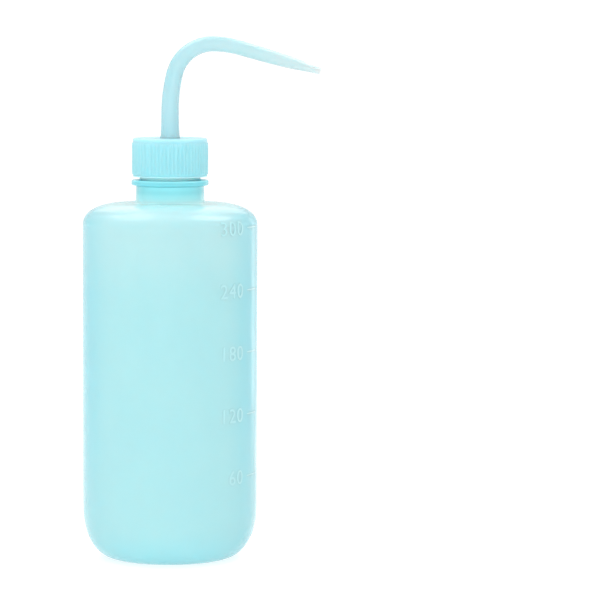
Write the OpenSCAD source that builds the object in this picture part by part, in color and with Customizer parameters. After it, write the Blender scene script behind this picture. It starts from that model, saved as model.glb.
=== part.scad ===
// Squeeze wash bottle: a blow-moulded bottle, a ribbed screw cap, and a bent swivelling spout that
// draws through a stopper and a dip tube. Millimetres, +Z up, origin at the centre of the base,
// spout towards +X.

/* [Body] */
// Outer diameter of the body
body_d = 60; // [52:0.5:76]
// Height of the shoulder's top above the table
shoulder_z = 122.3; // [90:0.1:160]
// Wall thickness of the body, shoulder and base
wall = 1; // [0.8:0.05:1.5]
// How far the heel curve comes in from the body's side
heel_in = 12; // [8:0.5:16]
// Height of the heel curve
heel_h = 18.5; // [10:0.5:24]
// Width of the flat between the neck and the shoulder curve
shoulder_flat = 3.2; // [1:0.1:6]
// Height of the shoulder curve
shoulder_h = 7.8; // [4:0.1:14]
// Fullness of the heel and shoulder curves, where 2 is an ellipse
fullness = 2.2; // [2:0.05:2.6]
// Width of the foot ring that the bottle stands on
foot_w = 4; // [2:0.5:6]
// Depth of the raised centre of the base
base_rise = 1.2; // [0.4:0.1:2.5]

/* [Neck] */
// Outer diameter of the threaded mouth, without its thread
mouth_d = 20.6; // [17.2:0.1:25]
// Wall thickness of the mouth
mouth_wall = 1.3; // [1:0.1:1.8]
// Wall thickness of the neck below the mouth
neck_wall = 1.2; // [0.8:0.05:1.8]
// Height of the threaded mouth above the support ring
mouth_h = 10.3; // [9.5:0.1:14]
// How far the neck stands out past the mouth
neck_out = 1.3; // [0.8:0.1:2.5]
// Height of the neck from the shoulder to the support ring
neck_h = 6.1; // [4:0.1:10]
// How far the support ring stands out past the mouth
ring_out = 2.9; // [1.8:0.1:4]
// Thickness of the support ring
ring_t = 1.8; // [1:0.1:3]

/* [Thread] */
// Rise of the thread in one turn
pitch = 3; // [2.6:0.1:3.6]
// Turns of thread on the mouth
mouth_turns = 1.5; // [1:0.25:1.75]
// Turns of thread in the cap
cap_turns = 1.25; // [1:0.25:1.5]
// Depth of the thread
thread_depth = 0.9; // [0.6:0.05:1]
// Width of the thread at its root
thread_w = 1.1; // [0.8:0.05:1.2]
// Radial clearance between the cap and the mouth's thread
thread_gap = 0.3; // [0.25:0.05:0.4]

/* [Cap] */
// Wall thickness of the cap's skirt at the roots of its ribs
cap_wall = 1.2; // [1:0.05:2]
// Thickness of the cap's roof
cap_roof = 1.4; // [1:0.1:2.5]
// Gap between the support ring and the closed cap
cap_gap = 1.1; // [0.5:0.1:2]
// Radius of the cap's top edge
cap_edge = 1; // [0.4:0.1:1.3]
// Number of grip ribs round the cap
ribs = 60; // [36:1:72]
// Height of a grip rib
rib_h = 0.35; // [0.2:0.05:0.6]
// Plain height left above the grip ribs
rib_top = 1.3; // [1.2:0.1:4]
// Plain height left below the grip ribs
rib_foot = 0.6; // [0.3:0.1:2]

/* [Stopper] */
// Thickness of the stopper's flange
flange_t = 1.4; // [1:0.1:2.5]
// Length of the plug inside the mouth
plug_h = 7; // [5:0.5:9]
// Wall thickness of the plug and of its tube socket
plug_wall = 1.1; // [0.8:0.1:1.5]
// Radial clearance between the plug and the bore of the mouth
plug_gap = 0.05; // [0.02:0.01:0.1]
// Thickness of the stop between the spout's socket and the dip tube's socket
stop_t = 1; // [0.8:0.1:2]
// Depth of the dip tube's socket
dip_socket = 5; // [3:0.5:7]

/* [Dip tube] */
// Outer diameter of the dip tube
dip_d = 6; // [5:0.1:6.4]
// Wall thickness of the dip tube
dip_wall = 0.9; // [0.6:0.05:1.2]
// Height of the dip tube's lowest point above the floor of the bottle
dip_lift = 1.5; // [1:0.5:6]
// Angle of the cut across the dip tube's foot
dip_cut = 45; // [0:5:50]
// Radial clearance of the tubes in the stopper's sockets
socket_gap = 0.05; // [0.02:0.01:0.1]

/* [Spout] */
// Outer diameter of the spout where it leaves the cap
spout_d = 6.4; // [5.6:0.1:7.7]
// Outer diameter of the spout in its bends
bend_d = 5.8; // [5:0.1:6]
// Outer diameter where the nose starts
nose_d = 4.6; // [4:0.1:5]
// Outer diameter of the jet tip
tip_d = 2.4; // [2.2:0.1:3.5]
// Bore of the spout from its foot to its bends
spout_bore = 3.8; // [3:0.1:4]
// Bore where the nose starts
nose_bore = 3; // [2:0.1:3.1]
// Bore of the jet tip
tip_bore = 1.2; // [0.8:0.1:1.4]
// Height of the straight riser above the cap
riser_h = 9; // [5:0.1:30]
// Centreline radius of the gentle bend that leads in to the main bend
lead_r = 55; // [30:1:90]
// Angle of the bend that leads in
lead_angle = 13.5; // [4:0.5:25]
// Centreline radius of the main bend
bend_r = 13.5; // [8:0.1:25]
// Angle of the main bend
bend_angle = 78; // [50:0.5:90]
// Centreline radius of the drooping bend
droop_r = 36; // [15:1:60]
// Angle of the drooping bend
droop_angle = 14.5; // [5:0.5:40]
// Length of the straight arm after the bends
arm_l = 15.3; // [5:0.1:30]
// Length of the tapered nose
nose_l = 9.6; // [5:0.1:20]
// Length of the straight jet tip
tip_l = 3.6; // [2:0.1:8]
// Outer diameter of the collar under the cap's roof
collar_d = 13; // [10:0.5:16]
// Thickness of the collar
collar_t = 1.2; // [0.8:0.1:2]
// Outer diameter of the spigot in the stopper
spigot_d = 5.8; // [5:0.1:6]
// Length of the spigot in the stopper
spigot_l = 5.3; // [3:0.1:6]
// How far the snap bead stands out from the spout
bead_out = 0.3; // [0.2:0.05:0.6]
// Height of the snap bead above the cap's roof
bead_h = 0.8; // [0.5:0.1:1.5]
// Radial clearance of the spout in the cap's hole
hole_gap = 0.08; // [0.03:0.01:0.1]
// Clearance between flat faces that slide past each other
face_gap = 0.1; // [0.05:0.05:0.2]

/* [Hidden] */
$fn = 96;

curve_steps = 12;      // flats along a heel or shoulder curve
fillet_steps = 6;      // flats along a small round edge
thread_steps = 24;     // steps of the thread in one turn
thread_lead = 45;      // angle over which a thread end fades out
thread_sink = 0.25;    // depth that a thread's root is sunk in its wall
thread_end = 0.02;     // height that a thread fades to at its ends, as a share of the whole
cap_start = 180;       // angle at which the cap's thread starts, clear of the foot of its skirt
crest_share = 0.5;     // width of the thread's crest as a share of its root
rib_sink = 0.1;        // depth that a rib's root is sunk in the skirt
rib_root = 0.33;       // half width of a rib at its root, as a share of the rib spacing
rib_crest = 0.17;      // half width of a rib at its crest, as a share of the rib spacing
edge = 0.3;            // small chamfer on moulded edges
neck_fillet = 1.2;     // radius between the shoulder and the neck
rise_run = 2.4;        // run of the slope up to the raised centre of the base
past = 1;              // how far a cutter runs past what it cuts
lap = 0.3;             // how far a stretch of the spout runs on into the next
lap_step = 0.08;       // how much smaller in radius the next stretch is

body_r = body_d / 2;
mouth_r = mouth_d / 2;
bore_r = mouth_r - mouth_wall;
neck_r = mouth_r + neck_out;
ring_r = mouth_r + ring_out;

ring_z = shoulder_z + neck_h;             // underside of the support ring
mouth_z = ring_z + ring_t;                // top of the support ring
rim_z = mouth_z + mouth_h;                // rim of the mouth
floor_z = wall;                           // floor of the bottle over the foot ring

foot_r = body_r - heel_in;                // outer radius of the foot ring
rise_r = foot_r - foot_w;                 // where the base starts to rise
neck_in_r = neck_r - neck_wall;           // inside of the neck below the mouth
shoulder_r = neck_r + neck_fillet + shoulder_flat;    // where the shoulder curve starts
shoulder_in = body_r - shoulder_r;        // how far the shoulder curve reaches

flange_z = rim_z + flange_t;              // top of the stopper's flange
roof_z = flange_z + collar_t;             // underside of the cap's roof
cap_z = roof_z + cap_roof;                // top of the cap
skirt_z = mouth_z + cap_gap;              // foot of the cap's skirt
cavity_r = mouth_r + thread_depth + thread_gap;
skirt_r = cavity_r + cap_wall;            // outside of the skirt between its ribs

thread_z = mouth_z + cap_gap + thread_w + face_gap;   // start of the mouth's thread

plug_r = bore_r - plug_gap;
spigot_r = spigot_d / 2;
spigot_socket_r = spigot_r + socket_gap;
dip_r = dip_d / 2;
dip_socket_r = dip_r + socket_gap;
stop_z = flange_z - spigot_l - face_gap;  // top of the stop between the sockets
dip_top_z = stop_z - stop_t;              // where the dip tube seats
dip_foot_z = floor_z + base_rise + dip_lift;
boss_r = max(dip_socket_r, spigot_socket_r) + plug_wall;

spout_r = spout_d / 2;
bead_z = cap_z + face_gap;
riser_z = cap_z + riser_h;                // where the first bend starts

// Headings along the spout, measured from straight up
droop_heading = lead_angle + bend_angle;
arm_heading = droop_heading + droop_angle;

// A bend's centre from its first point and heading, and a bend's last point from its last heading
function centre_of(first, r, heading) = first + r * [cos(heading), -sin(heading)];
function end_of(centre, r, heading) = centre + r * [-cos(heading), sin(heading)];

lead_centre = centre_of([0, riser_z], lead_r, 0);
lead_end = end_of(lead_centre, lead_r, lead_angle);
bend_centre = centre_of(lead_end, bend_r, lead_angle);
bend_end = end_of(bend_centre, bend_r, droop_heading);
droop_centre = centre_of(bend_end, droop_r, droop_heading);
arm_start = end_of(droop_centre, droop_r, arm_heading);

// Points of a quarter curve about a centre, from its vertical end to its horizontal end.
// up is -1 for a curve that turns down towards the axis and 1 for one that turns up.
function corner(centre, across, high, up) = [
    for (i = [0 : curve_steps])
        let (a = 90 * i / curve_steps)
        centre + [across * pow(cos(a), 2 / fullness), up * high * pow(sin(a), 2 / fullness)]
];

round_angles = [for (i = [0 : fillet_steps]) 90 * i / fillet_steps];

function reverse(list) = [for (i = [len(list) - 1 : -1 : 0]) list[i]];

// One turn-by-turn ridge, right-handed. root and crest are radii, start is the angle of its first end.
module thread_ridge(root, crest, z, start, turns) {
    steps = ceil(turns * thread_steps);
    function fade(a) = min(1, a / thread_lead, (turns * 360 - a) / thread_lead);
    section = [
        for (i = [0 : steps])
            let (
                a = 360 * turns * i / steps,
                f = max(thread_end, fade(a)),
                tip = root + (crest - root) * f,
                half_root = thread_w / 2,
                half_crest = half_root * (1 - (1 - crest_share) * f),
                mid = z + pitch * (start + a) / 360
            )
            for (p = [[root, -half_root], [tip, -half_crest], [tip, half_crest], [root, half_root]])
                [p[0] * cos(start + a), p[0] * sin(start + a), mid + p[1]]
    ];
    side = [
        for (i = [0 : steps - 1], k = [0 : 3])
            let (a = 4 * i + k, b = 4 * i + (k + 1) % 4)
            each [[a, b, b + 4], [a, b + 4, a + 4]]
    ];
    last = 4 * steps;
    ends = [[0, 2, 1], [0, 3, 2], [last, last + 1, last + 2], [last, last + 2, last + 3]];
    faces = concat(side, ends);
    // An inward ridge has its crest nearer the axis, which turns its faces the other way out.
    polyhedron(points = section, faces = crest > root ? faces : [for (f = faces) reverse(f)]);
}

module ring_section(outer, inner) {
    difference() {
        circle(r = outer);
        circle(r = inner);
    }
}

// Bottle: body, shoulder, neck, support ring and threaded mouth in one moulding
module bottle() {
    outside = concat(
        [[0, base_rise], [rise_r - rise_run, base_rise], [rise_r, 0]],
        reverse(corner([foot_r, heel_h], heel_in, heel_h, -1)),
        corner([shoulder_r, shoulder_z - shoulder_h], shoulder_in, shoulder_h, 1),
        [for (a = round_angles) [neck_r, shoulder_z] + neck_fillet * [1 - sin(a), 1 - cos(a)]],
        [[neck_r, ring_z], [ring_r - edge, ring_z], [ring_r, ring_z + edge]],
        [[ring_r, mouth_z - edge], [ring_r - edge, mouth_z], [mouth_r, mouth_z]],
        [[mouth_r, rim_z - edge], [mouth_r - edge, rim_z]]
    );
    inside = concat(
        [[0, floor_z + base_rise], [rise_r - rise_run, floor_z + base_rise], [rise_r, floor_z]],
        reverse(corner([foot_r, heel_h], heel_in - wall, heel_h - wall, -1)),
        corner([shoulder_r, shoulder_z - shoulder_h], shoulder_in - wall, shoulder_h - wall, 1),
        [[neck_in_r, shoulder_z - wall], [neck_in_r, ring_z - edge], [bore_r, mouth_z]],
        [[bore_r, rim_z - edge], [bore_r + edge, rim_z]]
    );
    color("#b4ebf0") {
        rotate_extrude() polygon(concat(outside, reverse(inside)));
        thread_ridge(mouth_r - thread_sink, mouth_r + thread_depth, thread_z, 0, mouth_turns);
    }
}

// Screw cap: ribbed skirt, roof with the spout's hole, and a thread half a pitch below the mouth's
module screw_cap() {
    shell = concat(
        [[0, skirt_z], [skirt_r - edge, skirt_z], [skirt_r, skirt_z + edge]],
        [for (a = round_angles) [skirt_r, cap_z] - cap_edge * [1 - cos(a), 1 - sin(a)]],
        [[0, cap_z]]
    );
    spacing = 360 / ribs;
    rib = [[-rib_root, -rib_sink], [-rib_crest, rib_h], [rib_crest, rib_h], [rib_root, -rib_sink]];
    grip = [
        for (i = [0 : ribs - 1], p = rib)
            (skirt_r + p[1]) * [cos((i + p[0]) * spacing), sin((i + p[0]) * spacing)]
    ];
    grip_z = skirt_z + rib_foot;
    color("#a2e9f3") {
        difference() {
            union() {
                rotate_extrude() polygon(shell);
                translate([0, 0, grip_z])
                    linear_extrude(cap_z - rib_top - grip_z)
                        difference() {
                            polygon(grip);
                            circle(r = skirt_r - 2 * rib_sink);
                        }
            }
            translate([0, 0, skirt_z - past]) cylinder(h = roof_z - skirt_z + past, r = cavity_r);
            cylinder(h = cap_z + past, r = spout_r + hole_gap);
        }
        translate([0, 0, -pitch / 2])
            thread_ridge(cavity_r + thread_sink, mouth_r + thread_gap, thread_z, cap_start, cap_turns);
    }
}

// Stopper: flange on the rim, hollow plug in the mouth, and a boss with a socket for each tube
module stopper() {
    boss_z = dip_top_z - dip_socket;
    plug_z = rim_z - plug_h;
    color("#d2f2f5") rotate_extrude() polygon([
        [dip_socket_r, boss_z], [boss_r, boss_z], [boss_r, rim_z],
        [plug_r - plug_wall, rim_z], [plug_r - plug_wall, plug_z],
        [plug_r - edge, plug_z], [plug_r, plug_z + edge], [plug_r, rim_z],
        [mouth_r, rim_z], [mouth_r, flange_z],
        [spigot_socket_r, flange_z], [spigot_socket_r, stop_z],
        [spout_bore / 2, stop_z], [spout_bore / 2, dip_top_z], [dip_socket_r, dip_top_z]
    ]);
}

// Dip tube: straight tube from the stopper to the floor, cut across its foot
module dip_tube() {
    cutter = 4 * dip_d;
    color("#c4eff4") difference() {
        translate([0, 0, dip_foot_z])
            linear_extrude(dip_top_z - dip_foot_z) ring_section(dip_r, dip_r - dip_wall);
        translate([-dip_r, 0, dip_foot_z])
            rotate([0, -dip_cut, 0])
                translate([-past, -cutter / 2, -cutter]) cube(cutter);
    }
}

// A bend of the spout in the XZ plane: r is the centreline's radius, from and to are headings
// measured from straight up, and centre is the point that it bends about. It runs on by one lap
// into the next stretch, which is smaller by one step.
module spout_bend(centre, r, from, to, steps) {
    on = lap / r * 180 / PI;
    outer = bend_d / 2 - steps * lap_step;
    inner = spout_bore / 2 - (steps + 1) * lap_step;
    translate([centre[0], 0, centre[1]])
        rotate([90, 0, 0])
            rotate([0, 0, 180 - to - on])
                rotate_extrude(angle = to + on - from)
                    translate([r, 0]) ring_section(outer, inner);
}

// Spout: spigot, collar and riser in one turned shape, three bends, then arm, nose and tip in another
module spout() {
    riser_top_r = bend_d / 2 + lap_step;
    arm_start_r = bend_d / 2 - 3 * lap_step;
    arm_bore_r = spout_bore / 2 - 4 * lap_step;
    nose_z = arm_l;
    tip_z = arm_l + nose_l;
    color("#b9ecf2") {
        rotate_extrude() polygon([
            [spout_bore / 2, flange_z - spigot_l], [spigot_r, flange_z - spigot_l],
            [spigot_r, flange_z], [collar_d / 2, flange_z], [collar_d / 2, roof_z],
            [spout_r, roof_z], [spout_r, bead_z], [spout_r + bead_out, bead_z],
            [spout_r, bead_z + bead_h], [riser_top_r, riser_z], [riser_top_r, riser_z + lap],
            [spout_bore / 2, riser_z + lap]
        ]);
        spout_bend(lead_centre, lead_r, 0, lead_angle, 0);
        spout_bend(bend_centre, bend_r, lead_angle, droop_heading, 1);
        spout_bend(droop_centre, droop_r, droop_heading, arm_heading, 2);
        translate([arm_start[0], 0, arm_start[1]])
            rotate([0, arm_heading, 0])
                rotate_extrude() polygon([
                    [arm_bore_r, 0], [arm_start_r, 0], [nose_d / 2, nose_z], [tip_d / 2, tip_z],
                    [tip_d / 2, tip_z + tip_l], [tip_bore / 2, tip_z + tip_l],
                    [tip_bore / 2, tip_z], [nose_bore / 2, nose_z]
                ]);
    }
}

bottle();
screw_cap();
stopper();
dip_tube();
spout();
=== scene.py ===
"""Looks of a squeeze wash bottle: bottle, screw cap, spout, stopper and dip tube.

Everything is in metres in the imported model's own frame: +Z up, spout towards +X, front towards -Y.
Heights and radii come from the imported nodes' boxes, and the rest are the named sizes below.
"""

import math

import bmesh
import bpy
import numpy as np
from mathutils import Matrix, Vector


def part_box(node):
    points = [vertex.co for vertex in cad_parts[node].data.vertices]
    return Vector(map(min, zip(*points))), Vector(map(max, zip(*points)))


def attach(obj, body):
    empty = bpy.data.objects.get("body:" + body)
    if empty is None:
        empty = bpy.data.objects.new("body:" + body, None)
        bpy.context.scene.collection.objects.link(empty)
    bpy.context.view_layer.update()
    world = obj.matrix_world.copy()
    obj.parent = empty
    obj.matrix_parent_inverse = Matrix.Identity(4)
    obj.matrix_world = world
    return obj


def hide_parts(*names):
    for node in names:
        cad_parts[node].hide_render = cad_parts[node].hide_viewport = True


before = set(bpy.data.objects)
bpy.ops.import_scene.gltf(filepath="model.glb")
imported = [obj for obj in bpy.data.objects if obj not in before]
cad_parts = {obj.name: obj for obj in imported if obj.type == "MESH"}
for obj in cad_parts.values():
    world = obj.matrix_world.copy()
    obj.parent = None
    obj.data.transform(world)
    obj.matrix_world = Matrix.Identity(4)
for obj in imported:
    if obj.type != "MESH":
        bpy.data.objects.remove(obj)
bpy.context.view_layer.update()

MM = 0.001

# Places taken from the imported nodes
BOTTLE_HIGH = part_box("bottle")[1]
CAP_LOW, CAP_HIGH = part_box("screw_cap")
STOPPER_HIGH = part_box("stopper")[1]
SPOUT_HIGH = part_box("spout")[1]
BODY_R = BOTTLE_HIGH.x
RIM_Z = BOTTLE_HIGH.z
MOUTH_R = STOPPER_HIGH.x
FLANGE_Z = STOPPER_HIGH.z
CAP_FOOT_Z = CAP_LOW.z
CAP_Z = CAP_HIGH.z
CAP_R = CAP_HIGH.x

# Bottle. FULLNESS is the power of the curves of the heel and the shoulder: 2 is an ellipse, more is fuller.
WALL = 1.0 * MM
HEEL_IN = 12.0 * MM
HEEL_H = 18.5 * MM
FULLNESS = 2.2
FOOT_W = 4.0 * MM
BASE_RISE = 1.2 * MM
RISE_RUN = 2.4 * MM
SHOULDER_H = 7.8 * MM
SHOULDER_FLAT = 3.2 * MM
NECK_FILLET = 1.2 * MM
MOUTH_FILLET = 0.9 * MM
MOUTH_H = 10.3 * MM
RING_T = 1.8 * MM
NECK_H = 6.1 * MM
NECK_OUT = 1.3 * MM
NECK_WALL = 1.2 * MM
RING_OUT = 2.9 * MM
MOUTH_WALL = 1.3 * MM
SEAM_OUT = 0.10 * MM
SEAM_W = 0.28 * MM
SEAM_FOOT = 0.5 * MM
SEAM_FADE_LOW = 3.0 * MM
SEAM_FADE_TOP = 1.0 * MM
SWELL = 0.06 * MM
SWELLS_ROUND = 3
SWELL_TWIST = 40.0
SWELL_RATE = 95.0
SWELL_PHASE = 1.3
WELD_HALF_W = 0.55 * MM
WELD_H = 0.55 * MM
WELD_ROOT = 0.1 * MM
WELD_SUNK = 0.2 * MM
WELD_FADE = 2.0 * MM
WELD_END = 0.02 * MM

MOUTH_Z = RIM_Z - MOUTH_H
RING_Z = MOUTH_Z - RING_T
SHOULDER_Z = RING_Z - NECK_H
NECK_R = MOUTH_R + NECK_OUT
RING_R = MOUTH_R + RING_OUT
BORE_R = MOUTH_R - MOUTH_WALL
FOOT_R = BODY_R - HEEL_IN
RISE_R = FOOT_R - FOOT_W
SHOULDER_R = NECK_R + NECK_FILLET + SHOULDER_FLAT

# Thread. The starts are in degrees. The profile is (share of the width, share of the depth) from low to high.
PITCH = 3.0 * MM
MOUTH_TURNS = 1.5
CAP_TURNS = 1.25
MOUTH_START = 0.0
CAP_START = 180.0
THREAD_DEPTH = 0.9 * MM
THREAD_W = 1.1 * MM
THREAD_GAP = 0.3 * MM
CAP_GAP = 1.1 * MM
THREAD_SUNK = 0.25 * MM
THREAD_FADE = math.radians(45)
THREAD_PROFILE = ((-0.5, 0.0), (-0.42, 0.35), (-0.3, 0.85), (-0.16, 1.0),
                  (0.16, 1.0), (0.3, 0.85), (0.42, 0.35), (0.5, 0.0))
THREAD_Z = MOUTH_Z + CAP_GAP + THREAD_W + 0.1 * MM

# Cap. RIB_SOFT is the share of a rib's height that shows: the rest fills the valley beside it.
RIBS = 60
RIB_H = 0.35 * MM
RIB_TOP = 1.3 * MM
RIB_FOOT = 0.6 * MM
RIB_FADE_LOW = 0.5 * MM
RIB_FADE_TOP = 0.6 * MM
RIB_SOFT = 0.45
CAP_ROOF = 1.4 * MM
CAP_EDGE = 1.0 * MM
CAP_LEAD_IN = 0.8 * MM
ROOF_RIM = 2.2 * MM
ROOF_BOSS = 1.7 * MM
ROOF_DISH = 0.15 * MM
SKIRT_R = CAP_R - RIB_H
CAVITY_R = MOUTH_R + THREAD_DEPTH + THREAD_GAP
ROOF_Z = CAP_Z - CAP_ROOF
SPOUT_R = 3.2 * MM
HOLE_GAP = 0.08 * MM
HOLE_R = SPOUT_R + HOLE_GAP

# Spout
SPIGOT_R = 2.9 * MM
SPIGOT_L = 5.3 * MM
COLLAR_R = 6.5 * MM
BEAD_OUT = 0.3 * MM
BEAD_H = 0.8 * MM
BEAD_GAP = 0.1 * MM
TAPER_H = 4.0 * MM
TAPER_R = 3.12 * MM
RISER_H = 9.0 * MM
LEAD_R = 55.0 * MM
LEAD_ANGLE = math.radians(13.5)
BEND_R = 13.5 * MM
BEND_ANGLE = math.radians(78)
DROOP_R = 36.0 * MM
DROOP_ANGLE = math.radians(14.5)
ARM_L = 15.3 * MM
NOSE_L = 9.6 * MM
TIP_L = 3.6 * MM

# Graduations: numbers of millilitres, evenly spaced up the body. Angles are from the front towards +X.
# TICK_END is the share of a tick's width and height that is left at its ends.
MARK_STEP_ML = 60
MARK_COUNT = 5
MARK_FIRST_Z = 30.0 * MM
MARK_STEP_Z = 21.2 * MM
MARK_H = 4.9 * MM
MARK_OUT = 0.11 * MM
MARK_SUNK = 0.02 * MM
LETTER_SIZE = 1.42 * MARK_H
LETTER_SPACE = 1.12
LETTER_EXTRUDE = 0.03 * MM
LETTER_BEVEL = 0.08 * MM
LETTER_SLICE = 0.7 * MM
TICK_HALF_W = 0.3 * MM
TICK_END = 0.05
TICK_FROM = math.radians(63)
TICK_TO = math.radians(80)
NUMERAL_TO = TICK_FROM - math.radians(5)

# Fineness of the meshes
BODY_SIDES = 224
RIB_STEPS = 12
SPOUT_SIDES = 64
SPOUT_STEP = 0.45 * MM
BORE_STEP = 0.9 * MM
THREAD_STEPS = 96
WELD_STEPS = 32
WELD_SIDES = 12
TICK_STEPS = 24
TICK_SIDES = 10
SEAM_ZONE = 0.9 * MM
SEAM_STEPS = 6
SHARP_ANGLE = math.radians(40)


# ---------------------------------------------------------------- geometry

def superellipse(centre, across, high, up, steps):
    """Points of a quarter curve, from its outermost point to its top (up 1) or its bottom (up -1)."""
    points = []
    for i in range(steps + 1):
        a = math.pi / 2 * i / steps
        points.append((centre[0] + across * math.cos(a) ** (2 / FULLNESS),
                       centre[1] + up * high * math.sin(a) ** (2 / FULLNESS)))
    return points


def rounded(corners, steps=6):
    """A polyline of (r, z, radius) corners, each rounded by a curve of about that radius."""
    points = []
    for i, (r, z, radius) in enumerate(corners):
        if radius == 0 or i in (0, len(corners) - 1):
            points.append((r, z))
            continue
        here = np.array((r, z))
        before = np.array(corners[i - 1][:2]) - here
        after = np.array(corners[i + 1][:2]) - here
        start = here + before / np.linalg.norm(before) * min(radius, np.linalg.norm(before) / 2)
        end = here + after / np.linalg.norm(after) * min(radius, np.linalg.norm(after) / 2)
        for t in np.linspace(0, 1, steps + 1):
            points.append(tuple((1 - t) ** 2 * start + 2 * t * (1 - t) * here + t * t * end))
    return points


def between(low, high, count):
    """Values strictly between two ends, evenly spaced."""
    return np.linspace(low, high, count + 2)[1:-1]


def smooth(t):
    """Eases 0 to 1 with no kink at either end."""
    t = min(max(t, 0.0), 1.0)
    return t * t * (3 - 2 * t)


class Shell:
    """Collects the vertices and faces of one piece, then makes its object."""

    def __init__(self):
        self.points = []
        self.faces = []

    def grid(self, rings, closed_rows):
        """Joins rings of equal length into quads. A ring of one point is a pole."""
        starts = []
        for ring in rings:
            starts.append((len(self.points), len(ring)))
            self.points.extend(ring)
        pairs = list(zip(starts, starts[1:]))
        if closed_rows:
            pairs.append((starts[-1], starts[0]))
        for (a, size_a), (b, size_b) in pairs:
            for k in range(max(size_a, size_b)):
                n = (k + 1) % max(size_a, size_b)
                if size_a == 1:
                    self.faces.append((a, b + n, b + k))
                elif size_b == 1:
                    self.faces.append((a + k, a + n, b))
                else:
                    self.faces.append((a + k, a + n, b + n, b + k))

    def rod(self, rings):
        """Joins rings of equal length and closes both ends with a flat face."""
        sides = len(rings[0])
        first = len(self.points)
        self.grid(rings, False)
        last = first + sides * (len(rings) - 1)
        self.faces.append(tuple(range(first + sides - 1, first - 1, -1)))
        self.faces.append(tuple(range(last, last + sides)))

    def lathe(self, outline, angles, shape=None, closed_rows=False):
        """Turns an outline of (r, z) about Z. shape(r, z, angle) may move each point's radius."""
        rings = []
        for r, z in outline:
            if r < 1e-7:
                rings.append([(0.0, 0.0, z)])
                continue
            ring = []
            for a in angles:
                out = r + (shape(r, z, a) if shape else 0.0)
                ring.append((out * math.cos(a), out * math.sin(a), z))
            rings.append(ring)
        self.grid(rings, closed_rows)

    def object(self, name):
        """Mesh object of what was collected, smooth except along sharp edges."""
        mesh = bpy.data.meshes.new(name)
        mesh.from_pydata([tuple(p) for p in self.points], [], self.faces)
        work = bmesh.new()
        work.from_mesh(mesh)
        bmesh.ops.remove_doubles(work, verts=work.verts, dist=1e-7)
        bmesh.ops.recalc_face_normals(work, faces=work.faces)
        work.to_mesh(mesh)
        work.free()
        mesh.shade_smooth()
        mesh.set_sharp_from_angle(angle=SHARP_ANGLE)
        made = bpy.data.objects.new(name, mesh)
        bpy.context.scene.collection.objects.link(made)
        return made


def even_angles(count):
    """Angles evenly round a full turn."""
    return [2 * math.pi * i / count for i in range(count)]


def add_thread(shell, root, crest, z, start, turns):
    """A right-handed ridge with a rounded crest, faded out at both ends."""
    steps = int(turns * THREAD_STEPS)
    rings = []
    for i in range(steps + 1):
        a = 2 * math.pi * turns * i / steps
        fade = max(0.02, smooth(min(a, 2 * math.pi * turns - a) / THREAD_FADE))
        mid = z + PITCH * (math.radians(start) + a) / (2 * math.pi)
        ring = []
        for across, out in THREAD_PROFILE:
            r = root + (crest - root) * out * fade
            turn = math.radians(start) + a
            ring.append((r * math.cos(turn), r * math.sin(turn), mid + across * THREAD_W))
        rings.append(ring)
    shell.rod(rings)


# ---------------------------------------------------------------- materials

# Textures: scales are in features per metre
MOTTLE_SCALE = 45.0
MOTTLE_TINT = (0.965, 0.985, 1.0)
PATCH_SCALE = 120.0
GRAIN_SCALE = 2600.0
GRAIN_DEPTH = 0.02 * MM
DENT_SCALE = 60.0
DENT_STRENGTH = 0.2
DENT_DEPTH = 0.3 * MM
SCATTER_REACH = (0.55, 1.0, 1.1)
PLASTIC_IOR = 1.51
PLASTIC_SPECULAR = 0.42

# Where the painted shade of the bottle's two sides starts and ends, from the middle out
SIDE_FROM, SIDE_TO = 0.63 * BODY_R, 1.01 * BODY_R
# Share of that painted shade left at the back, and where it fades
BACK_SHARE = 0.35
BACK_FROM, BACK_TO = -0.2 * BODY_R, 0.5 * BODY_R
# Share of that painted shade left at the heel, and where it fades
HEEL_SHARE = 0.55
HEEL_FROM, HEEL_TO = 0.5 * HEEL_H, 3 * HEEL_H


def noise(nodes, links, coords, scale, detail=3.0, rough=0.5):
    """Soft random pattern, from 0 to 1."""
    made = nodes.new("ShaderNodeTexNoise")
    made.inputs["Scale"].default_value = scale
    made.inputs["Detail"].default_value = detail
    made.inputs["Roughness"].default_value = rough
    links.new(coords, made.inputs["Vector"])
    return made.outputs["Fac"]


def ranged(nodes, links, value, low, high, from_low=0.3, from_high=0.7, ease="LINEAR"):
    """Maps a value from one range to another. The default range is where a noise mostly lies."""
    made = nodes.new("ShaderNodeMapRange")
    made.interpolation_type = ease
    made.inputs["From Min"].default_value = from_low
    made.inputs["From Max"].default_value = from_high
    made.inputs["To Min"].default_value = low
    made.inputs["To Max"].default_value = high
    links.new(value, made.inputs["Value"])
    return made.outputs["Result"]


def times(nodes, links, first, second):
    """Multiplies two values."""
    made = nodes.new("ShaderNodeMath")
    made.operation = "MULTIPLY"
    links.new(first, made.inputs[0])
    links.new(second, made.inputs[1])
    return made.outputs[0]


def ramp(nodes, links, value, stops):
    """Colour eased between (place, colour) stops, with places from 0 to 1."""
    made = nodes.new("ShaderNodeValToRGB")
    made.color_ramp.interpolation = "EASE"
    while len(made.color_ramp.elements) < len(stops):
        made.color_ramp.elements.new(0.5)
    for element, (place, colour) in zip(made.color_ramp.elements, stops):
        element.position = place
        element.color = (*colour, 1.0)
    links.new(value, made.inputs["Fac"])
    return made.outputs["Color"]


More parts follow.
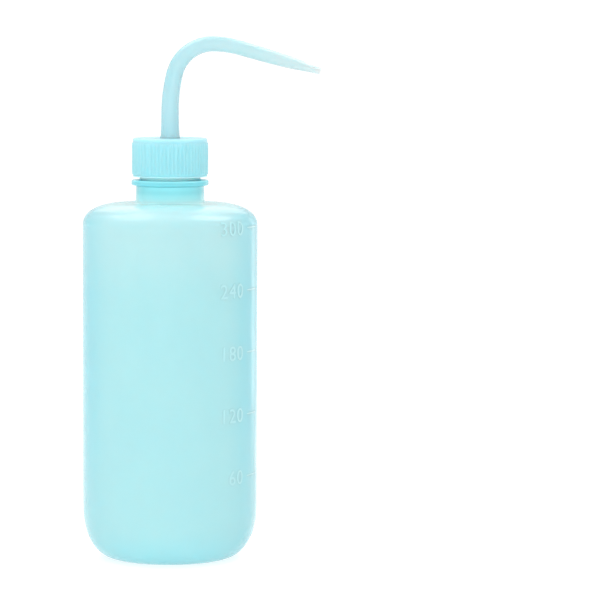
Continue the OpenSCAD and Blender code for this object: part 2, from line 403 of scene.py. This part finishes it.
def painted_edge_shade_amount(nodes, links, split):
    """How much of the painted shade of the sides shows: most near both ends of X, less behind and less at the
    heel.
    """
    out = nodes.new("ShaderNodeMath")
    out.operation = "ABSOLUTE"
    links.new(split.outputs["X"], out.inputs[0])
    near_side = ranged(nodes, links, out.outputs[0], 0.0, 1.0, SIDE_FROM, SIDE_TO, "SMOOTHSTEP")
    behind = ranged(nodes, links, split.outputs["Y"], 1.0, BACK_SHARE, BACK_FROM, BACK_TO, "SMOOTHSTEP")
    below = ranged(nodes, links, split.outputs["Z"], HEEL_SHARE, 1.0, HEEL_FROM, HEEL_TO, "SMOOTHSTEP")
    return times(nodes, links, times(nodes, links, near_side, behind), below)


def plastic(name, axis, low, high, stops, roughness, grain,
            scatter=0.8, depth=2.5 * MM, sides=None, clear=0.0):
    """Translucent moulded plastic.

    stops are (place, colour) pairs from low to high along one axis of the object, under faint mottling.
    sides is painted shade, a deeper tint for the two sides. roughness is the range that the gloss varies
    over, and grain the strength of the fine grain, which lies under soft swells. scatter and depth are how
    much light spreads under the surface and how far, and clear is the share that passes straight through.
    """
    material = bpy.data.materials.new(name)
    material.use_nodes = True
    nodes, links = material.node_tree.nodes, material.node_tree.links
    shader = nodes["Principled BSDF"]
    place = nodes.new("ShaderNodeTexCoord").outputs["Object"]
    split = nodes.new("ShaderNodeSeparateXYZ")
    links.new(place, split.inputs["Vector"])
    along = ranged(nodes, links, split.outputs[axis], 0.0, 1.0, low, high)
    colour = ramp(nodes, links, along, stops)
    # Painted shade: the two sides of the bottle tinted deeper
    if sides:
        colour = tinted(nodes, links, colour, painted_edge_shade_amount(nodes, links, split), sides)
    mottle = ranged(nodes, links, noise(nodes, links, place, MOTTLE_SCALE, 4.0, 0.6), 0.0, 1.0)
    colour = tinted(nodes, links, colour, mottle, MOTTLE_TINT)
    links.new(colour, shader.inputs["Base Color"])
    patches = noise(nodes, links, place, PATCH_SCALE, 5.0, 0.65)
    links.new(ranged(nodes, links, patches, roughness[0], roughness[1]), shader.inputs["Roughness"])
    fine = noise(nodes, links, place, GRAIN_SCALE, 2.0, 0.5)
    fine_bump = bump(nodes, links, fine, grain, GRAIN_DEPTH)
    dents = noise(nodes, links, place, DENT_SCALE, 1.0, 0.4)
    dent_bump = bump(nodes, links, dents, DENT_STRENGTH, DENT_DEPTH)
    links.new(fine_bump.outputs["Normal"], dent_bump.inputs["Normal"])
    links.new(dent_bump.outputs["Normal"], shader.inputs["Normal"])
    shader.inputs["IOR"].default_value = PLASTIC_IOR
    shader.inputs["Specular IOR Level"].default_value = PLASTIC_SPECULAR
    shader.inputs["Transmission Weight"].default_value = clear
    shader.inputs["Subsurface Weight"].default_value = scatter
    shader.inputs["Subsurface Radius"].default_value = SCATTER_REACH
    shader.inputs["Subsurface Scale"].default_value = depth
    return material


def bump(nodes, links, height, strength, distance):
    """Bump node driven by a height."""
    made = nodes.new("ShaderNodeBump")
    made.inputs["Strength"].default_value = strength
    made.inputs["Distance"].default_value = distance
    links.new(height, made.inputs["Height"])
    return made


def tinted(nodes, links, colour, amount, tint):
    """Multiplies a colour by a tint, by an amount from 0 to 1."""
    mix = nodes.new("ShaderNodeMix")
    mix.data_type = "RGBA"
    mix.blend_type = "MULTIPLY"
    links.new(amount, mix.inputs["Factor"])
    links.new(colour, mix.inputs["A"])
    mix.inputs["B"].default_value = (*tint, 1.0)
    return mix.outputs["Result"]


# Colours of the pieces, as linear red, green and blue
BOTTLE_STOPS = [
    (0.0, (0.270, 0.59, 0.645)),      # heel
    (0.10, (0.320, 0.585, 0.615)),    # body
    (0.62, (0.320, 0.585, 0.615)),
    (0.80, (0.36, 0.597, 0.622)),     # shoulder, painted light: paler towards the top as if lit from above
    (0.855, (0.37, 0.60, 0.63)),
    (0.872, (0.46, 0.75, 0.77)),      # foot of the neck, painted light that lifts the shade where the neck meets the shoulder
    (0.886, (0.32, 0.68, 0.72)),      # neck
    (0.898, (0.24, 0.61, 0.66)),
    # painted light: the top of the neck lightened where the support ring shades it
    (0.911, (0.275, 0.71, 0.77)),
    (0.9145, (0.175, 0.51, 0.56)),    # support ring
    (0.9245, (0.175, 0.51, 0.56)),
    (0.9285, (0.48, 0.95, 0.98)),     # mouth, painted light: lightened where the cap's skirt shades the gap above the support ring
]
# Painted shade: a deeper tint for the bottle's two sides, standing in for the deeper colour of its edges
PAINTED_EDGE_SHADE = (0.69, 0.93, 1.0)
MARK_STOPS = [(0.0, (0.34, 0.615, 0.645)), (1.0, (0.36, 0.62, 0.645))]
CAP_STOPS = [
    (0.0, (0.50, 0.88, 0.95)),        # underside of the skirt, painted light: lightened where the gap above the support ring is shaded
    (0.012, (0.45, 0.84, 0.91)),
    (0.035, (0.265, 0.58, 0.65)),     # skirt
    (0.75, (0.275, 0.59, 0.655)),
    (1.0, (0.33, 0.585, 0.65)),       # roof
]
SPOUT_STOPS = [
    (0.0, (0.385, 0.62, 0.68)),       # riser
    (0.5, (0.44, 0.645, 0.685)),
    (0.85, (0.50, 0.66, 0.69)),
    (1.0, (0.56, 0.68, 0.70)),        # tip
]
INNER_STOPS = [(0.0, (0.42, 0.66, 0.69)), (1.0, (0.46, 0.68, 0.71))]


def bottle_material():
    return plastic("bottle_polyethylene", "Z", 0.0, RIM_Z, BOTTLE_STOPS,
                   (0.15, 0.24), 0.12, depth=3 * MM, sides=PAINTED_EDGE_SHADE)


def mark_material():
    return plastic("graduation_polyethylene", "Z", 0.0, RIM_Z, MARK_STOPS,
                   (0.15, 0.24), 0.12, scatter=0.0)


def cap_material():
    return plastic("cap_polypropylene", "Z", CAP_FOOT_Z, CAP_Z, CAP_STOPS,
                   (0.34, 0.44), 0.2, depth=4 * MM)


def spout_material():
    return plastic("spout_polyethylene", "X", -SPOUT_R, SPOUT_HIGH.x, SPOUT_STOPS,
                   (0.15, 0.22), 0.12, depth=3 * MM, clear=0.12)


def inner_material(name):
    return plastic(name, "Z", 0.0, RIM_Z, INNER_STOPS,
                   (0.32, 0.42), 0.2, scatter=0.7)


# ---------------------------------------------------------------- bottle

def bottle_outside():
    """Outline of the outside, from the axis at the base up to the rim."""
    points = [(0.0, BASE_RISE)]
    for t in np.linspace(0, 1, 9):
        points.append((RISE_R - RISE_RUN * (1 - t), BASE_RISE * (1 - smooth(t))))
    points += [(r, 0.0) for r in between(RISE_R, FOOT_R, 2)]
    points += superellipse((FOOT_R, HEEL_H), HEEL_IN, HEEL_H, -1, 28)[::-1]
    straight_top = SHOULDER_Z - SHOULDER_H
    points += [(BODY_R, z) for z in between(HEEL_H, straight_top, 40)]
    points += superellipse((SHOULDER_R, straight_top), BODY_R - SHOULDER_R, SHOULDER_H, 1, 24)
    points += rounded([
        (SHOULDER_R - 0.6 * SHOULDER_FLAT, SHOULDER_Z, 0),
        (NECK_R, SHOULDER_Z, NECK_FILLET * 1.3),
        (NECK_R, RING_Z, 0.45 * MM),
        (RING_R, RING_Z, 0.5 * MM),
        (RING_R, MOUTH_Z, 0.5 * MM),
        (MOUTH_R, MOUTH_Z, MOUTH_FILLET),
        (MOUTH_R, RIM_Z, 0.4 * MM),
        (BORE_R + MOUTH_WALL / 2, RIM_Z, 0),
    ])
    return points


def bottle_inside():
    """Outline of the inside, from the rim down to the axis at the floor."""
    straight_top = SHOULDER_Z - SHOULDER_H
    neck_in = NECK_R - NECK_WALL
    points = rounded([
        (BORE_R + MOUTH_WALL / 2, RIM_Z, 0),
        (BORE_R, RIM_Z, 0.3 * MM),
        (BORE_R, MOUTH_Z, 0.8 * MM),
        (neck_in, RING_Z, 0.8 * MM),
        (neck_in, SHOULDER_Z - WALL, 0.8 * MM),
        (SHOULDER_R - 0.4 * SHOULDER_FLAT, SHOULDER_Z - WALL, 0),
    ])[1:]
    shoulder = superellipse((SHOULDER_R, straight_top), BODY_R - SHOULDER_R - WALL, SHOULDER_H - WALL, 1, 16)
    points += shoulder[::-1]
    points += [(BODY_R - WALL, z) for z in between(straight_top, HEEL_H, 12)]
    points += superellipse((FOOT_R, HEEL_H), HEEL_IN - WALL, HEEL_H - WALL, -1, 16)
    for t in np.linspace(1, 0, 7):
        points.append((RISE_R - RISE_RUN * (1 - t), WALL + BASE_RISE * (1 - smooth(t))))
    points.append((0.0, WALL + BASE_RISE))
    return points


def bottle_shape(r, z, a):
    """Soft swells of a blown wall, and the mould's parting line on both sides of the bottle."""
    if r < NECK_R - NECK_WALL / 2:
        return 0.0
    on_side = smooth(z / HEEL_H) * smooth((SHOULDER_Z - z) / SHOULDER_H)
    wave = math.sin(SWELLS_ROUND * a + SWELL_TWIST * z) * math.sin(SWELL_RATE * z + SWELL_PHASE)
    swell = SWELL * on_side * (wave - 1.0) * 0.5
    seam = math.exp(-((r * math.sin(a)) / SEAM_W) ** 2)
    low_end = smooth((z - SEAM_FOOT) / SEAM_FADE_LOW)
    top_end = smooth((RING_Z - z) / SEAM_FADE_TOP)
    raised = SEAM_OUT * seam * low_end * top_end
    return swell + raised - SEAM_OUT * on_side


def seam_angles():
    """Even angles, with more of them near the parting line at 0 and 180 degrees."""
    zone = SEAM_ZONE / BODY_R
    near = [SEAM_ZONE * i / SEAM_STEPS / BODY_R for i in range(-SEAM_STEPS, SEAM_STEPS + 1)]
    angles = set(round(a, 9) for a in even_angles(BODY_SIDES))
    for middle in (0.0, math.pi):
        angles = {a for a in angles if abs((a - middle + math.pi) % (2 * math.pi) - math.pi) > zone}
        angles |= {round((middle + n) % (2 * math.pi), 9) for n in near}
    return sorted(angles)


def add_weld(shell):
    """The pinched weld that blow moulding leaves across the raised centre of the base."""
    half = RISE_R - RISE_RUN
    rings = []
    for i in range(WELD_STEPS + 1):
        x = half * (2 * i / WELD_STEPS - 1)
        deep = WELD_H * smooth((half - abs(x)) / WELD_FADE) + WELD_END
        ring = []
        for b in even_angles(WELD_SIDES):
            down = deep * max(0.0, math.sin(b))
            up = WELD_SUNK * max(0.0, -math.sin(b))
            ring.append((x, WELD_HALF_W * math.cos(b), BASE_RISE + WELD_ROOT - down + up))
        rings.append(ring)
    shell.rod(rings)


def make_bottle():
    shell = Shell()
    outline = bottle_outside() + bottle_inside()
    shell.lathe(outline, seam_angles(), bottle_shape)
    add_thread(shell, MOUTH_R - THREAD_SUNK, MOUTH_R + THREAD_DEPTH, THREAD_Z, MOUTH_START, MOUTH_TURNS)
    add_weld(shell)
    piece = shell.object("bottle_shell")
    piece.data.materials.append(bottle_material())
    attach(piece, "bottle")
    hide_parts("bottle")
    return piece


# ---------------------------------------------------------------- graduations

BODY_PROFILE = sorted((z, r) for r, z in bottle_outside() if z <= SHOULDER_Z - 0.2 * MM)


def outer_radius(z):
    """Outside radius of the body at a height."""
    return float(np.interp(z, [p[0] for p in BODY_PROFILE], [p[1] for p in BODY_PROFILE]))


def wrap_on_body(mesh, z_mid):
    """Bends a flat mesh, x along the text and z out of it, round the front right of the body."""
    for v in mesh.vertices:
        a = NUMERAL_TO + v.co.x / BODY_R
        z = z_mid + v.co.y
        r = outer_radius(z) + v.co.z - MARK_SUNK - SEAM_OUT
        v.co = (r * math.sin(a), -r * math.cos(a), z)


def slice_along(mesh, step):
    """Cuts a flat mesh every step along x, so that it can bend smoothly."""
    work = bmesh.new()
    work.from_mesh(mesh)
    xs = [v.co.x for v in work.verts]
    for x in np.arange(min(xs) + step, max(xs), step):
        geom = work.verts[:] + work.edges[:] + work.faces[:]
        bmesh.ops.bisect_plane(work, geom=geom, plane_co=(float(x), 0, 0), plane_no=(1, 0, 0), dist=1e-7)
    work.to_mesh(mesh)
    work.free()


def make_numeral(text, z_mid):
    """Mesh of a moulded number with soft edges, bent round the body."""
    curve = bpy.data.curves.new("numeral", "FONT")
    curve.body = text
    curve.size = LETTER_SIZE
    curve.space_character = LETTER_SPACE
    curve.align_x = "RIGHT"
    curve.extrude = LETTER_EXTRUDE
    curve.bevel_depth = LETTER_BEVEL
    curve.bevel_resolution = 2
    curve.resolution_u = 6
    source = bpy.data.objects.new("numeral", curve)
    bpy.context.scene.collection.objects.link(source)
    bpy.context.view_layer.update()
    mesh = bpy.data.meshes.new_from_object(source.evaluated_get(bpy.context.evaluated_depsgraph_get()))
    bpy.data.objects.remove(source)
    bpy.data.curves.remove(curve)
    low = min(v.co.y for v in mesh.vertices)
    high = max(v.co.y for v in mesh.vertices)
    for v in mesh.vertices:
        v.co.y -= (low + high) / 2
    slice_along(mesh, LETTER_SLICE)
    wrap_on_body(mesh, z_mid)
    return mesh


def add_tick(shell, z_mid):
    """A raised, rounded bar round the body, full almost to its ends."""
    rings = []
    for i in range(TICK_STEPS + 1):
        a = TICK_FROM + (TICK_TO - TICK_FROM) * i / TICK_STEPS
        fade = max(TICK_END, max(0.0, math.sin(math.pi * i / TICK_STEPS)) ** 0.12)
        ring = []
        for b in even_angles(TICK_SIDES):
            z = z_mid + TICK_HALF_W * fade * math.cos(b)
            r = outer_radius(z) - SEAM_OUT + MARK_OUT * fade * math.sin(b)
            ring.append((r * math.sin(a), -r * math.cos(a), z))
        rings.append(ring)
    shell.rod(rings)


def make_graduations():
    """Moulded numbers and ticks on the front right of the body."""
    shell = Shell()
    for k in range(MARK_COUNT):
        z = MARK_FIRST_Z + k * MARK_STEP_Z
        add_tick(shell, z)
        numeral = make_numeral(str(MARK_STEP_ML * (k + 1)), z)
        first = len(shell.points)
        shell.points.extend(tuple(v.co) for v in numeral.vertices)
        shell.faces.extend(tuple(first + i for i in p.vertices) for p in numeral.polygons)
        bpy.data.meshes.remove(numeral)
    piece = shell.object("graduations")
    piece.data.materials.append(mark_material())
    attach(piece, "bottle")
    return piece


# ---------------------------------------------------------------- cap

def cap_shape(r, z, a):
    """Grip ribs on the outside of the skirt."""
    if r < SKIRT_R - 0.05 * MM:
        return 0.0
    along = smooth((z - CAP_FOOT_Z - RIB_FOOT) / RIB_FADE_LOW) * smooth((CAP_Z - RIB_TOP - z) / RIB_FADE_TOP)
    crest = 0.5 + 0.5 * math.cos(RIBS * a)
    return RIB_H * along * (1 - RIB_SOFT * (1 - crest))


def cap_outline():
    """Closed outline of the cap: up the outside, over the roof, down the cavity and round the foot."""
    rib_low, rib_high = CAP_FOOT_Z + RIB_FOOT, CAP_Z - RIB_TOP
    outline = rounded([
        (CAVITY_R + CAP_LEAD_IN, CAP_FOOT_Z, 0),
        (SKIRT_R, CAP_FOOT_Z, 0.35 * MM),
        (SKIRT_R, rib_low, 0),
    ])
    outline += [(SKIRT_R, z) for z in between(rib_low, rib_low + RIB_FADE_LOW, 4)]
    outline += [(SKIRT_R, z) for z in between(rib_low + RIB_FADE_LOW, rib_high - RIB_FADE_TOP, 8)]
    outline += [(SKIRT_R, z) for z in between(rib_high - RIB_FADE_TOP, rib_high, 5)]
    outline += rounded([
        (SKIRT_R, rib_high, 0),
        (SKIRT_R, CAP_Z, CAP_EDGE),
        (SKIRT_R - ROOF_RIM, CAP_Z, 0.2 * MM),
        (SKIRT_R - ROOF_RIM - 0.2 * MM, CAP_Z - ROOF_DISH, 0.2 * MM),
        (HOLE_R + ROOF_BOSS + 0.2 * MM, CAP_Z - ROOF_DISH, 0.2 * MM),
        (HOLE_R + ROOF_BOSS, CAP_Z, 0.2 * MM),
        (HOLE_R, CAP_Z, 0.2 * MM),
        (HOLE_R, ROOF_Z, 0.1 * MM),
        (CAVITY_R, ROOF_Z, 0.5 * MM),
        (CAVITY_R, CAP_FOOT_Z + CAP_LEAD_IN, 0.2 * MM),
        (CAVITY_R + 0.8 * CAP_LEAD_IN, CAP_FOOT_Z, 0.1 * MM),
        (CAVITY_R + 0.9 * CAP_LEAD_IN, CAP_FOOT_Z, 0),
    ], steps=8)
    return outline


def make_cap():
    shell = Shell()
    shell.lathe(cap_outline(), even_angles(RIBS * RIB_STEPS), cap_shape, closed_rows=True)
    thread_low = THREAD_Z - PITCH / 2
    add_thread(shell, CAVITY_R + THREAD_SUNK, MOUTH_R + THREAD_GAP, thread_low, CAP_START, CAP_TURNS)
    piece = shell.object("cap_shell")
    piece.data.materials.append(cap_material())
    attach(piece, "cap")
    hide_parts("screw_cap")
    return piece


# ---------------------------------------------------------------- spout

RISER_Z = CAP_Z + RISER_H
SPOUT_FOOT_Z = FLANGE_Z - SPIGOT_L
RISER_S = RISER_Z - SPOUT_FOOT_Z
LEAD_S = RISER_S + LEAD_R * LEAD_ANGLE
BEND_S = LEAD_S + BEND_R * BEND_ANGLE
DROOP_S = BEND_S + DROOP_R * DROOP_ANGLE
BENDS = ((RISER_S, LEAD_S, LEAD_R), (LEAD_S, BEND_S, BEND_R), (BEND_S, DROOP_S, DROOP_R))
NOSE_S = DROOP_S + ARM_L
TIP_S = NOSE_S + NOSE_L
END_S = TIP_S + TIP_L


def spout_path(s):
    """Point (x, z) and heading from straight up, at a distance along the spout's centreline."""
    x, z, heading = 0.0, SPOUT_FOOT_Z + min(s, RISER_S), 0.0
    for start, end, r in BENDS:
        if s <= start:
            return x, z, heading
        turned = heading + (min(s, end) - start) / r
        x += r * (math.cos(heading) - math.cos(turned))
        z += r * (math.sin(turned) - math.sin(heading))
        heading = turned
    rest = max(0.0, s - DROOP_S)
    return x + rest * math.sin(heading), z + rest * math.cos(heading), heading


def even_steps(stops, step):
    """(distance, radius) pairs at even steps along straight runs between the stops."""
    pairs = []
    for (s0, r0), (s1, r1) in zip(stops, stops[1:]):
        count = max(1, int((s1 - s0) / step))
        pairs += [(s0 + (s1 - s0) * i / count, r0 + (r1 - r0) * i / count) for i in range(count)]
    return pairs + [stops[-1]]


def spout_outside():
    """(distance, radius) along the outside, from the spigot's foot to the jet's lip."""
    def s_of(z):
        return z - SPOUT_FOOT_Z

    foot = rounded([
        (2.2 * MM, s_of(SPOUT_FOOT_Z), 0),
        (SPIGOT_R, s_of(SPOUT_FOOT_Z), 0.25 * MM),
        (SPIGOT_R, s_of(FLANGE_Z), 0.1 * MM),
        (COLLAR_R, s_of(FLANGE_Z), 0.2 * MM),
        (COLLAR_R, s_of(ROOF_Z), 0.2 * MM),
        (SPOUT_R, s_of(ROOF_Z), 0.1 * MM),
        (SPOUT_R, s_of(CAP_Z + BEAD_GAP), 0.05 * MM),
        (SPOUT_R + BEAD_OUT, s_of(CAP_Z + BEAD_GAP), 0.15 * MM),
        (SPOUT_R + 0.05 * MM, s_of(CAP_Z + BEAD_GAP + BEAD_H), 0.3 * MM),
        (TAPER_R, s_of(CAP_Z + TAPER_H), 0),
    ])
    stops = [
        (s_of(CAP_Z + TAPER_H), TAPER_R),
        (RISER_S, 3.04 * MM),
        (RISER_S + 8 * MM, 2.93 * MM),
        (LEAD_S, 2.84 * MM),
        (BEND_S, 2.62 * MM),
        (DROOP_S, 2.52 * MM),
        (DROOP_S + 6 * MM, 2.46 * MM),
        (DROOP_S + 11 * MM, 2.36 * MM),
        (NOSE_S, 2.23 * MM),
        (NOSE_S + 4.3 * MM, 1.96 * MM),
        (NOSE_S + 5.9 * MM, 1.78 * MM),
        (NOSE_S + 7.1 * MM, 1.60 * MM),
        (TIP_S, 1.40 * MM),
        (TIP_S + 2.2 * MM, 1.20 * MM),
        (END_S - 0.1 * MM, 1.10 * MM),
    ]
    tube = even_steps(stops, SPOUT_STEP)[1:]
    radii = np.array([r for s, r in tube])
    for _ in range(6):
        radii[1:-1] = (radii[:-2] + 2 * radii[1:-1] + radii[2:]) / 4
    points = [(s, r) for r, s in foot]
    points += [(s, float(r)) for (s, _), r in zip(tube, radii)]
    return points + [(END_S, 1.0 * MM)]


def spout_inside():
    """(distance, radius) along the bore, from the lip back to the spigot's foot."""
    stops = [
        (0.0, 1.9 * MM),
        (RISER_S, 1.9 * MM),
        (DROOP_S, 1.6 * MM),
        (NOSE_S, 1.45 * MM),
        (NOSE_S + 6 * MM, 1.0 * MM),
        (TIP_S, 0.68 * MM),
        (END_S, 0.62 * MM),
    ]
    return even_steps(stops, BORE_STEP)[::-1]


def make_spout():
    shell = Shell()
    rings = []
    for s, r in spout_outside() + spout_inside():
        x, z, heading = spout_path(s)
        ring = []
        for b in even_angles(SPOUT_SIDES):
            out = r * math.cos(b)
            ring.append((x + out * math.cos(heading), r * math.sin(b), z - out * math.sin(heading)))
        rings.append(ring)
    shell.grid(rings, True)
    piece = shell.object("spout_tube")
    piece.data.materials.append(spout_material())
    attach(piece, "spout")
    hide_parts("spout")
    return piece


# ---------------------------------------------------------------- inner pieces

def finish_inner_pieces():
    """The stopper and the dip tube keep their CAD shapes and get a real finish."""
    for node in ("stopper", "dip_tube"):
        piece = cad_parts[node]
        piece.data.materials.clear()
        piece.data.materials.append(inner_material(node + "_polyethylene"))


# ---------------------------------------------------------------- stage, light and camera

WORLD_SEEN = 1.1
WORLD_LIGHT = 0.86
FLOOR_HALF = 60.0
FLOOR_DROP = 0.05 * MM
FLOOR_GREY = 0.40
FLOOR_GLOW = 0.70
FLOOR_SPECULAR = 0.2
FLOOR_ROUGHNESS = (0.55, 0.65)
FLOOR_PATCH_SCALE = 6.0
LIGHT_AIM = (0.0, 0.0, 0.11)

# The photograph's view: nearly level, a long lens, the bottle left of centre
CAMERA_PLACE = (0.04465, -1.2033, 0.1943)
CAMERA_DOWN = math.radians(5.0)
CAMERA_ROLL = math.radians(0.22)
CAMERA_LENS = 211.0


def softbox(name, bearing, height, distance, size, power):
    """A soft light at a bearing round from the front towards +X and a height above level, in degrees."""
    a, e = math.radians(bearing), math.radians(height)
    way = Vector((math.cos(e) * math.sin(a), -math.cos(e) * math.cos(a), math.sin(e)))
    aim = Vector(LIGHT_AIM)
    data = bpy.data.lights.new(name, "AREA")
    data.shape = "RECTANGLE"
    data.size, data.size_y = size
    data.energy = power
    made = bpy.data.objects.new(name, data)
    made.location = aim + way * distance
    made.rotation_euler = (aim - made.location).to_track_quat("-Z", "Y").to_euler()
    made.visible_camera = False
    bpy.context.scene.collection.objects.link(made)
    return made


def make_floor():
    """A pale floor that glows a little, so that it stays as white as the background."""
    mesh = bpy.data.meshes.new("floor")
    corners = [(-1, -1), (1, -1), (1, 1), (-1, 1)]
    mesh.from_pydata([(x * FLOOR_HALF, y * FLOOR_HALF, 0) for x, y in corners], [], [(0, 1, 2, 3)])
    floor = bpy.data.objects.new("floor", mesh)
    floor.location.z = -FLOOR_DROP
    bpy.context.scene.collection.objects.link(floor)
    material = bpy.data.materials.new("pale_floor")
    material.use_nodes = True
    nodes, links = material.node_tree.nodes, material.node_tree.links
    place = nodes.new("ShaderNodeTexCoord").outputs["Object"]
    shader = nodes["Principled BSDF"]
    patches = noise(nodes, links, place, FLOOR_PATCH_SCALE)
    links.new(ranged(nodes, links, patches, *FLOOR_ROUGHNESS), shader.inputs["Roughness"])
    shader.inputs["Base Color"].default_value = (FLOOR_GREY, FLOOR_GREY, FLOOR_GREY, 1.0)
    shader.inputs["Specular IOR Level"].default_value = FLOOR_SPECULAR
    shader.inputs["Emission Color"].default_value = (1.0, 1.0, 1.0, 1.0)
    shader.inputs["Emission Strength"].default_value = FLOOR_GLOW
    material.cycles.emission_sampling = "NONE"
    mesh.materials.append(material)


def make_light():
    """A white world, brighter to the camera than to the bottle, and softboxes round it."""
    world = bpy.data.worlds.new("studio")
    world.use_nodes = True
    nodes, links = world.node_tree.nodes, world.node_tree.links
    seen = nodes.new("ShaderNodeLightPath").outputs["Is Camera Ray"]
    sky = nodes["Background"]
    sky.inputs["Color"].default_value = (1.0, 1.0, 1.0, 1.0)
    links.new(ranged(nodes, links, seen, WORLD_LIGHT, WORLD_SEEN, 0.0, 1.0), sky.inputs["Strength"])
    bpy.context.scene.world = world
    softbox("left", -104, 62, 0.85, (0.56, 0.50), 2.6)
    softbox("right", 107, 58, 0.85, (0.44, 0.44), 2.7)
    softbox("back", 180, 42, 1.0, (0.75, 0.8), 1.6)
    softbox("edge", 142, 2, 0.45, (0.07, 0.25), 0.06)
    fill = softbox("front", -6, 5, 1.5, (0.9, 0.46), 12.0)
    fill.visible_glossy = False
    bpy.context.scene.cycles.diffuse_bounces = 8
    bpy.context.scene.view_settings.view_transform = "Standard"
    bpy.context.scene.view_settings.look = "None"


def make_camera():
    """The camera that took the photograph, as nearly as its view can be read."""
    data = bpy.data.cameras.new("camera")
    data.sensor_width = 36.0
    data.lens = CAMERA_LENS
    data.clip_start, data.clip_end = 0.05, 200.0
    camera = bpy.data.objects.new("camera", data)
    camera.matrix_world = (
        Matrix.Translation(CAMERA_PLACE)
        @ Matrix.Rotation(math.pi / 2 - CAMERA_DOWN, 4, "X")
        @ Matrix.Rotation(CAMERA_ROLL, 4, "Z")
    )
    bpy.context.scene.collection.objects.link(camera)
    bpy.context.scene.camera = camera


make_camera()
make_light()
make_floor()
make_bottle()
make_graduations()
make_cap()
make_spout()
finish_inner_pieces()
